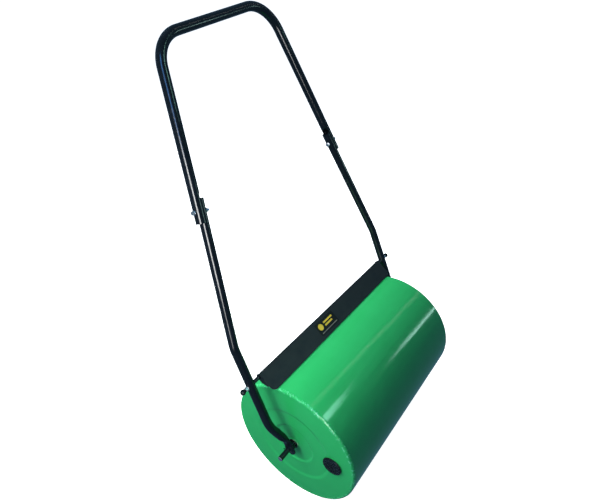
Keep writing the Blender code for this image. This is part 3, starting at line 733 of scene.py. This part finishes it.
def upper_path():
    """The middle line of the upper tube, with its top bar askew."""
    foot = [Vector((-upper_leg_x(UPPER_END + 0.003 * i), UPPER_END + 0.003 * i)) for i in range(26)]
    low_corner, high_corner = GRIP_UP - GRIP_SKEW, GRIP_UP + GRIP_SKEW
    corners = [foot[-1], (-upper_leg_x(low_corner), low_corner),
               (upper_leg_x(high_corner), high_corner), (-foot[-1].x, foot[-1].y)]
    bends = filled(rounded(corners, (GRIP_BEND, GRIP_BEND), 18), 0.012)
    return foot + bends[1:-1] + [Vector((-p.x, p.y)) for p in reversed(foot)]


def saddle(here, sideways, across, radius, round_wall):
    """The inboard wall of the upper tube's end is pressed round the lower tube."""
    depth = smooth((CRIMP_TOP - here.y) / CRIMP_RUN)
    if depth == 0.0 or abs(across) >= radius:
        return sideways
    offset = abs(here.x) - lower_leg_x(here.y)
    pressed = offset - sqrt(radius ** 2 - across ** 2)
    return min(sideways, pressed * depth + round_wall * (1 - depth))


def upper_section(here, angle):
    sideways, across = UPPER_RADIUS * cos(angle), UPPER_RADIUS * sin(angle)
    return saddle(here, sideways, across, LOWER_RADIUS + CRIMP_CLEARANCE, UPPER_RADIUS), across


def upper_bore(here, angle):
    radius = UPPER_RADIUS - TUBE_WALL
    sideways, across = radius * cos(angle), radius * sin(angle)
    return saddle(here, sideways, across, LOWER_RADIUS + CRIMP_CLEARANCE + TUBE_WALL, radius), across


def joint_axis(side, slope):
    """The frame of a joint bolt, square to the leg."""
    return (HANDLE @ Matrix.Translation((side * upper_leg_x(JOINT_UP), 0.0, JOINT_UP))
            @ Matrix.Rotation(-side * slope, 4, "Y"))


def build_bolt(name, start, end, plain, zinc, matrix, side=1):
    """Hexagon bolt along X: head from start, thread to end."""
    head = hexagon(start, start + HEAD_HEIGHT, HEX, 0.0, (True, False))
    shank = threaded(start + HEAD_HEIGHT * 0.5, end, BOLT_RADIUS, plain)
    flip = Matrix.Diagonal((side, 1.0, 1.0, 1.0))
    for part in (head, shank):
        part.transform(matrix @ flip)
    bolt = make(name, head, zinc, "handle_frame", [name_of_node(name)])
    boolean(bolt, shank, "UNION", 30.0)


def name_of_node(piece_name):
    """Pieces that stand for hardware are named after their node plus a suffix."""
    return piece_name.rsplit("_piece", 1)[0]


def build_handle(paint, zinc):
    """Both lower tubes, the upper handle and the bolts that join them."""
    slope = atan2(UPPER_END_X - GRIP_X, GRIP_UP - UPPER_END)
    offset = (upper_leg_x(JOINT_UP) - lower_leg_x(JOINT_UP)) * cos(slope)
    spans = {-1: (-UPPER_RADIUS, offset + LOWER_RADIUS), 1: (-offset - LOWER_RADIUS, UPPER_RADIUS)}
    upper = make("upper_handle_tube", swept(upper_path(), upper_section, upper_bore), paint,
                 "handle_frame", ["upper_handle"], HANDLE)
    for side, word in SIDES:
        low, high = spans[side]
        axis = joint_axis(side, slope)
        path = lower_path(side)
        blind = next(i for i, p in enumerate(path) if p.y > BORE_FROM)
        tube = make("lower_handle_tube_" + word, swept(path, lower_section, lower_bore, blind), paint,
                    "handle_frame", ["lower_tube_" + word], HANDLE)
        for matrix, x0, x1, radius in ((HANDLE, side * EYE_X - 0.01, side * EYE_X + 0.01, BORE_RADIUS),
                                       (HANDLE @ Matrix.Translation((0, 0, PIVOT_UP)),
                                        side * STRADDLE_X - 0.02, side * STRADDLE_X + 0.02, BOLT_HOLE),
                                       (axis, low - 0.01, high + 0.01, BOLT_HOLE)):
            cutter = rod(x0, x1, radius, 32)
            cutter.transform(matrix)
            boolean(tube, cutter, "DIFFERENCE")
        cutter = rod(low - 0.01, high + 0.01, BOLT_HOLE, 32)
        cutter.transform(axis)
        boolean(upper, cutter, "DIFFERENCE")

        under = low - GAP
        washer = ring(under - WASHER_THICK, under, WASHER_RADIUS, BOLT_HOLE, 40, 0.0002)
        make("handle_washer_" + word + "_piece", washer, zinc, "handle_frame",
             ["handle_washer_" + word], axis)
        start = under - WASHER_THICK - GAP - HEAD_HEIGHT
        build_bolt("handle_bolt_" + word + "_piece", start, high + BOLT_PAST_NUT, high - low, zinc,
                   axis)
        nut = hexagon(high + GAP, high + GAP + NUT_HEIGHT, HEX, BOLT_HOLE)
        make("handle_nut_" + word + "_piece", nut, zinc, "handle_frame", ["handle_nut_" + word], axis)


def build_axle(axle_paint, plastic):
    """The axle with what keeps the tubes and the drum apart on it."""
    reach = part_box("axle_rod")[1].x
    axle = make("axle_bar", rod(-reach, reach, AXLE_RADIUS, 48, 0.0010), axle_paint, "handle_frame",
                ["axle_rod"], HANDLE)
    hub_face = HALF - HUB_DEPTH + SLEEVE_PROUD + GAP + FLANGE_THICK
    eye_in, eye_out = EYE_X - EYE_THICK, EYE_X + EYE_THICK
    pin_x = eye_out + GAP + AXLE_WASHER_THICK + PIN_CLEAR
    for side, word in SIDES:
        spacer = ring(*both(hub_face + GAP, eye_in - GAP, side), AXLE_SPACER_RADIUS, BORE_RADIUS, 48,
                      0.0005)
        make("hub_spacer_" + word, spacer, plastic, "handle_frame", ["axle_spacer_" + word],
             HANDLE)
        washer = ring(*both(eye_out + GAP, eye_out + GAP + AXLE_WASHER_THICK, side), AXLE_WASHER_RADIUS,
                      BORE_RADIUS, 48, 0.0002)
        make("axle_washer_" + word + "_piece", washer, axle_paint, "handle_frame", ["axle_washer_" + word],
             HANDLE)
        spot = HANDLE @ Matrix.Translation((side * pin_x, 0.0, 0.0))
        cutter = rod(-0.01, 0.01, PIN_HOLE, 24)
        cutter.transform(spot @ Matrix.Rotation(radians(90), 4, "Z"))
        boolean(axle, cutter, "DIFFERENCE")
        make("split_pin_" + word + "_piece", split_pin(), axle_paint, "handle_frame", ["split_pin_" + word],
             spot, 60.0)


def split_pin(wire=0.00072, leg_gap=0.00090, sides=14):
    """A cotter pin along Y, bent from one wire."""
    loop = arc((0.0098, 0.0), 0.0026, 158, -158, 28)
    leg = [(-0.0100, 0.0042), (-0.0093, 0.0032), (-0.0086, 0.0022), (-0.0080, 0.0014),
           (-0.0074, leg_gap), (0.0066, leg_gap)]
    path = [Vector(p) for p in leg + loop + [(y, -z) for y, z in reversed(leg)]]
    bm = bmesh.new()
    rings = []
    for i, here in enumerate(path):
        tangent = (path[min(i + 1, len(path) - 1)] - path[max(i - 1, 0)]).normalized()
        side = Vector((-tangent.y, tangent.x))
        circle = []
        for k in range(sides):
            angle = 2 * pi * k / sides
            spot = here + side * wire * cos(angle)
            circle.append(bm.verts.new((wire * sin(angle), spot.x, spot.y)))
        rings.append(circle)
    for low, high in zip(rings, rings[1:]):
        bridge(bm, low, high)
    bm.faces.new(rings[0])
    bm.faces.new(rings[-1])
    return bm


# ---------------------------------------------------------------------- scraper
def build_scraper_bolts(zinc, plastic, black):
    """The two bolts that the scraper swings on, with their ball covers."""
    at = HANDLE @ Matrix.Translation((0.0, 0.0, PIVOT_UP))
    ear_in = BLADE_HALF - SHEET
    tube_in, tube_out = STRADDLE_X - LOWER_RADIUS, STRADDLE_X + LOWER_RADIUS
    nut_start = tube_out + 2 * GAP + WASHER_THICK
    cover = nut_start + LOCK_NUT_HEIGHT + GAP
    for side, word in SIDES:
        build_bolt("scraper_bolt_" + word + "_piece", ear_in - GAP - HEAD_HEIGHT, cover + BOLT_IN_COVER,
                   0.020, zinc, at, side)
        spacer = ring(*both(BLADE_HALF + GAP, tube_in - GAP, side), SCRAPER_SPACER_RADIUS, BOLT_HOLE,
                      40, 0.0003)
        make("scraper_spacer_" + word + "_piece", spacer, black, "handle_frame",
             ["scraper_spacer_" + word], at)
        washer = ring(*both(tube_out + GAP, tube_out + GAP + WASHER_THICK, side), WASHER_RADIUS,
                      BOLT_HOLE, 40, 0.0002)
        make("scraper_washer_" + word + "_piece", washer, zinc, "handle_frame",
             ["scraper_washer_" + word], at)
        nut = hexagon(*both(nut_start, nut_start + LOCK_NUT_HEIGHT, side), HEX, BOLT_HOLE)
        make("scraper_nut_" + word + "_piece", nut, zinc, "handle_frame", ["scraper_nut_" + word], at)
        profile = [(cover + 0.0003, BOLT_HOLE), (cover, BOLT_HOLE + 0.0003), (cover, BALL_NECK - 0.0003),
                   (cover + 0.0003, BALL_NECK), (cover + 0.0016, BALL_NECK)]
        profile += arc((cover + BALL_END - BALL_RADIUS, 0.0), BALL_RADIUS, 135, 0, 15)
        profile += [(cover + 0.0095, 0.0), (cover + 0.0078, BOLT_HOLE)]
        dome = turned([(side * x, abs(r)) for x, r in profile], 48)
        make("scraper_nut_dome_" + word, dome, plastic, "handle_frame", ["scraper_nut_cover_" + word],
             at)


ALONG = Vector((1.0, 0.0, 0.0))


def blade_axes():
    """Up the blade, out of its face, and the middle of its lower edge."""
    turn = HANDLE.to_3x3()
    up_blade = turn @ Vector((0.0, sin(BLADE_TILT), cos(BLADE_TILT)))
    off_blade = turn @ Vector((0.0, -cos(BLADE_TILT), sin(BLADE_TILT)))
    tip = HANDLE @ Vector((0.0, -BLADE_TIP_OUT, BLADE_TIP_UP))
    return up_blade, off_blade, tip


def build_blade(paint):
    """The scraper sheet with its two bent ears."""
    low_corner, high_corner = BLADE_CORNERS
    up_blade, off_blade, tip = blade_axes()
    hole = PIVOT - tip
    hole_up, hole_off = hole.dot(up_blade), hole.dot(off_blade)
    outline = arc((BLADE_HALF - low_corner, low_corner), low_corner, -90, 0, 10)
    outline += arc((BLADE_HALF - high_corner, BLADE_WIDTH - high_corner), high_corner, 0, 90, 6)
    outline += [(-x, y) for x, y in reversed(outline)]
    blade = make("scraper_sheet", plate(outline, -SHEET, (ALONG, up_blade, off_blade), tip), paint,
                 "scraper", ["scraper_blade"])
    ear = [(0.016, -0.0008), (BLADE_WIDTH - 0.007, -0.0008)]
    ear += arc((hole_up, hole_off), EAR_RADIUS, 90, -90, 18)
    ear += [(0.030, hole_off - EAR_RADIUS), (0.016, -0.0070)]
    for side, word in SIDES:
        inner = BLADE_HALF - SHEET if side > 0 else -BLADE_HALF
        bent = plate(ear, SHEET, (up_blade, off_blade, ALONG), tip + ALONG * (inner - side * 0.00002))
        boolean(blade, bent, "UNION")
        cutter = rod(side * BLADE_HALF - 0.005, side * BLADE_HALF + 0.005, BOLT_HOLE, 32)
        cutter.transform(Matrix.Translation(PIVOT))
        boolean(blade, cutter, "DIFFERENCE")
    bevel = blade.modifiers.new("broken_edges", "BEVEL")
    bevel.width = 0.0005
    bevel.segments = 2
    bevel.limit_method = "ANGLE"
    bevel.angle_limit = radians(40)


def disc(centre, radius, sides=40):
    return [(centre[0] + radius * cos(2 * pi * i / sides), centre[1] + radius * sin(2 * pi * i / sides))
            for i in range(sides)]


def bar(left, low, right, high):
    return [(left, low), (right, low), (right, high), (left, high)]


def build_label(film, yellow, grey):
    """A generic printed sticker: a plain disc beside plain bars."""
    up_blade, off_blade, tip = blade_axes()
    width, height = LABEL_SIZE
    base = tip + ALONG * LABEL_CENTRE[0] + up_blade * (LABEL_CENTRE[1] - height / 2) + off_blade * GAP
    across = (ALONG, up_blade, off_blade)
    round_off = 0.002
    corners = arc((width / 2 - round_off, round_off), round_off, -90, 0, 6)
    corners += arc((width / 2 - round_off, height - round_off), round_off, 0, 90, 6)
    corners += [(-x, y) for x, y in reversed(corners)]
    sheet = plate(corners, 0.0004, across, base)
    layers = [(1, disc((-0.0225, 0.0195), 0.0080))]
    layers.append((1, bar(-0.0080, 0.0215, 0.0270, 0.0257)))
    layers.append((1, bar(-0.0080, 0.0135, 0.0210, 0.0177)))
    layers.append((2, bar(-0.0310, 0.0040, 0.0310, 0.0062)))
    ink_base = base + off_blade * 0.00038
    for index, outline in layers:
        ink = plate(outline, 0.00008, across, ink_base)
        for face in ink.faces:
            face.material_index = index
        scratch = bpy.data.meshes.new("ink")
        bmesh.ops.recalc_face_normals(ink, faces=ink.faces[:])
        ink.to_mesh(scratch)
        ink.free()
        sheet.from_mesh(scratch)
        bpy.data.meshes.remove(scratch)
    make("scraper_sticker", sheet, [film, yellow, grey], "scraper", ["scraper_label"])


# ------------------------------------------------------------------------ stage
def build_stage():
    """A pale floor and a pale dome round it, lit apart from the subject as in a studio."""
    size = 30.0
    floor_mesh = bpy.data.meshes.new("floor")
    floor_mesh.from_pydata([(-size, -size, 0), (size, -size, 0), (size, size, 0), (-size, size, 0)], [],
                           [(0, 1, 2, 3)])
    floor = bpy.data.objects.new("floor", floor_mesh)
    bpy.context.collection.objects.link(floor)
    floor.location.z = -0.0005
    white = Paint("floor_white", (0.85, 0.85, 0.85), 0.9, specular=0.0)
    white.tint(white.ramp(white.noise(2.0), 0.4, 0.7, 0.0, 0.3), (0.83, 0.835, 0.84))
    white.set("Emission Color", (1.0, 1.0, 1.0, 1.0))
    white.set("Emission Strength", 1.0)
    floor_mesh.materials.append(white.material)
    dome_shape = bmesh.new()
    bmesh.ops.create_uvsphere(dome_shape, u_segments=48, v_segments=24, radius=size)
    dome_mesh = bpy.data.meshes.new("backdrop")
    dome_shape.to_mesh(dome_mesh)
    dome_shape.free()
    dome_mesh.materials.append(white.material)
    dome = bpy.data.objects.new("backdrop", dome_mesh)
    bpy.context.collection.objects.link(dome)
    dome.visible_shadow = False
    for backdrop in (floor, dome):
        backdrop.visible_diffuse = False
        backdrop.visible_glossy = False

    world = bpy.data.worlds.new("studio")
    bpy.context.scene.world = world
    world.use_nodes = True
    background = world.node_tree.nodes["Background"]
    background.inputs["Color"].default_value = (0.26, 0.52, 0.80, 1.0)
    background.inputs["Strength"].default_value = 0.30


def add_lamp(name, matrix, size, power, colour, shape):
    light = bpy.data.lights.new(name, "AREA")
    light.shape = shape
    light.size, light.size_y = size
    light.energy = power
    light.color = colour
    thing = bpy.data.objects.new(name, light)
    bpy.context.collection.objects.link(thing)
    thing.matrix_world = matrix
    return thing


def lamp_at(name, place, target, size, power):
    """A rectangular lamp at a place, facing target."""
    place = Vector(place)
    aim = (Vector(target) - place).to_track_quat("-Z", "Y").to_matrix().to_4x4()
    return add_lamp(name, Matrix.Translation(place) @ aim, size, power, (1.0, 1.0, 1.0), "RECTANGLE")


def lamp_along(name, start, end, width, radiance, target, colour=(1.0, 1.0, 1.0), shape="RECTANGLE"):
    """A long narrow lamp from start to end, facing target."""
    start, end, target = Vector(start), Vector(end), Vector(target)
    along = end - start
    middle = (start + end) / 2
    across_x = along.normalized()
    back = (middle - target).normalized()
    across_y = back.cross(across_x).normalized()
    back = across_x.cross(across_y)
    area = along.length * width * (pi / 4 if shape == "ELLIPSE" else 1.0)
    matrix = Matrix((across_x, across_y, back)).transposed().to_4x4()
    matrix.translation = middle
    return add_lamp(name, matrix, (along.length, width), radiance * pi * area, colour, shape)


def build_lights():
    """Lamps that light the paint, and cards that only show as reflections in it."""
    centre = (0.0, 0.0, 0.25)
    left = (-0.2, 0.1, 0.5)
    blue, mint = (0.12, 0.40, 1.0), (0.45, 1.0, 0.85)
    pale_mint = (0.60, 1.0, 0.92)
    lamps = [lamp_at("back_softbox", (-0.30, 1.45, 1.85), centre, (2.2, 1.8), 74),
             lamp_at("cap_fill", (-0.95, 0.22, 0.80), (-0.25, 0.0, 0.2), (0.6, 0.5), 9)]
    for lamp in lamps:
        lamp.visible_glossy = False
    cards = [lamp_along("left_low", (-2.30, -1.36, 0.45), (-2.24, -1.22, 1.05), 0.55, 8.0, left),
             lamp_along("left_card", (-2.24, -1.22, 1.06), (-2.08, -0.98, 2.05), 0.95, 20.0, left),
             lamp_along("left_blue", (-2.06, -0.96, 2.08), (-1.10, -0.40, 2.90), 0.80, 6.5, left, blue),
             lamp_along("top_line", (0.50, -0.17, 1.8), (2.20, -0.73, 1.8), 0.024, 5.0, centre),
             lamp_along("near_streak", (0.80, -1.26, 1.98), (1.22, -1.26, 1.98), 0.48, 9.0, centre,
                        mint, "ELLIPSE"),
             lamp_along("far_streak", (2.45, -1.56, 0.62), (1.68, -1.73, 1.20), 0.17, 7.5, centre,
                        pale_mint, "ELLIPSE")]
    for card in cards:
        card.visible_diffuse = False


LENS, SENSOR = 28.784, 36.0
VIEW_FORWARD = (0.67515, 0.49222, -0.54944)
VIEW_RIGHT = (0.58911, -0.80805, 0.0)
EYE_FROM_AXLE = (-0.7770, -0.4039, 0.9597)


def build_camera():
    """A slightly wide lens, looking down on the roller from the filler plug's end."""
    data = bpy.data.cameras.new("camera")
    data.lens = LENS
    data.sensor_width = SENSOR
    camera = bpy.data.objects.new("camera", data)
    bpy.context.collection.objects.link(camera)
    forward, right = Vector(VIEW_FORWARD), Vector(VIEW_RIGHT)
    right = (right - forward * right.dot(forward)).normalized()
    up = right.cross(forward)
    place = Matrix((right, up, -forward)).transposed().to_4x4()
    place.translation = AXLE + Vector(EYE_FROM_AXLE)
    camera.matrix_world = place
    bpy.context.scene.camera = camera


# -------------------------------------------------------------------- the model
build_camera()
build_stage()
build_lights()

tread_green = tread_enamel()
cap_green = cap_enamel()
tube_black = black_enamel("tube_black_enamel").material
blade_black = black_enamel("blade_black_enamel", (0.014, 0.018, 0.020), dull=0.26).material
axle_black = axle_enamel()
zinc = zinc_plate()
plastic = moulded_plastic()
rubber_black = rubber()

build_tread(tread_green)
for cap_side, cap_word in SIDES:
    build_cap(cap_side, cap_word, cap_green)
build_hub(plastic, cap_green)
build_filler(plastic, rubber_black, cap_green)
build_handle(tube_black, zinc)
build_axle(axle_black, plastic)
build_scraper_bolts(zinc, plastic, tube_black)
build_blade(blade_black)
build_label(print_ink("label_film_black", (0.004, 0.004, 0.005)),
            print_ink("label_ink_yellow", (0.78, 0.60, 0.05)),
            print_ink("label_ink_grey", (0.20, 0.19, 0.16)))

sleeve = frame["nodes"]["axle_sleeve"]
for material_slot in sleeve.material_slots:
    material_slot.material = cap_green

bpy.context.scene.view_settings.view_transform = "Standard"
